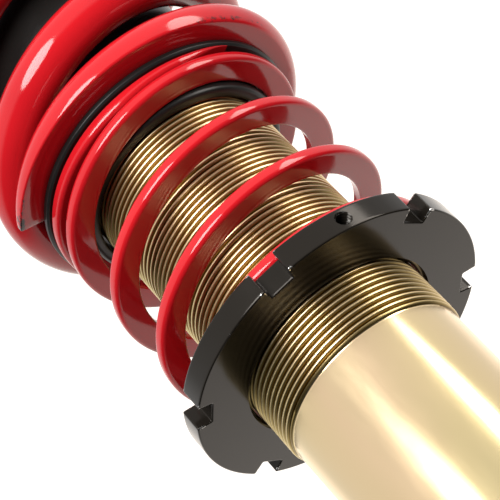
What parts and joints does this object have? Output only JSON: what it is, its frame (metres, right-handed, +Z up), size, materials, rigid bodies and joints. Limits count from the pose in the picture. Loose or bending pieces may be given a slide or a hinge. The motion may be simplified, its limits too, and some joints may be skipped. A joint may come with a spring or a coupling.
{
  "type": "coilover",
  "caption": "Height-adjustable coilover strut with threaded tube, adjustable perch, helper and main spring, damper and top mount.",
  "frame": {"origin": "centre of the tube's bottom end, on the strut axis", "axes": "+Z up the strut axis towards the top mount, +X towards one spanner notch of the perch collar"},
  "size_m": [0.12, 0.12, 0.432],
  "materials": {
    "zinc_tube": "satin",
    "spring_paint": "gloss",
    "black_anodise": "satin",
    "black_plastic": "satin",
    "black_rubber": "matte",
    "black_steel": "satin",
    "zinc_steel": "satin",
    "chrome_rod": "gloss",
    "bearing_steel": "gloss",
    "bump_foam": "matte",
    "seal_rubber": "matte",
    "piston_alloy": "satin",
    "band_plastic": "satin"
  },
  "bodies": {
    "top_mount": {"mount_plate": "black_steel", "mount_boss": "black_steel", "mount_bush": "black_rubber", "mount_core": "zinc_steel", "rod_washer": "zinc_steel", "rod_nut": "zinc_steel", "bump_stop": "bump_foam", "tower_studs": "zinc_steel", "bearing_upper_race": "bearing_steel", "piston_rod": "chrome_rod", "piston": "piston_alloy", "piston_band": "band_plastic", "piston_nut": "zinc_steel"},
    "spring_seat": {"upper_seat": "black_steel", "spring_isolator": "black_rubber", "bearing_lower_race": "bearing_steel", "bearing_balls": "bearing_steel", "dust_boot": "black_rubber"},
    "strut": {"strut_tube": "zinc_tube", "bottom_cap": "zinc_tube", "base_valve": "piston_alloy", "pressure_tube": "bearing_steel", "rod_guide": "piston_alloy", "rod_seal": "seal_rubber", "gland_nut": "black_steel"},
    "divider": {"divider_ring": "black_plastic", "main_spring": "spring_paint"},
    "perch_carrier": {"helper_spring": "spring_paint"},
    "perch": {"perch_collar": "black_anodise", "grub_screw": "black_steel", "grub_pad": "band_plastic"}
  },
  "joints": [
    {"name": "bearing_swivel", "type": "hinge", "parent": "top_mount", "child": "spring_seat", "pos_m": [0, 0, 0.38], "axis": [0, 0, 1], "continuous": true},
    {"name": "damper_stroke", "type": "slide", "parent": "spring_seat", "child": "strut", "axis": [0, 0, 1], "range_m": [0, 0.06], "stiffness_N_per_m": 4000, "springref_m": -0.01, "deforming": ["main_spring", "helper_spring", "dust_boot"]},
    {"name": "divider_slide", "type": "slide", "parent": "strut", "child": "divider", "axis": [0, 0, -1], "range_m": [0, 0.027]},
    {"name": "perch_height", "type": "slide", "parent": "strut", "child": "perch_carrier", "axis": [0, 0, 1], "range_m": [-0.012, 0]},
    {"name": "perch_turn", "type": "hinge", "parent": "perch_carrier", "child": "perch", "pos_m": [0, 0, 0.153], "axis": [0, 0, 1], "range_deg": [-2890, 0]}
  ],
  "couplings": [
    {"joint": "divider_slide", "follows": "damper_stroke", "ratio": 0.45},
    {"joint": "perch_turn", "follows": "perch_height", "rad_per_m": 4188.8}
  ]
}
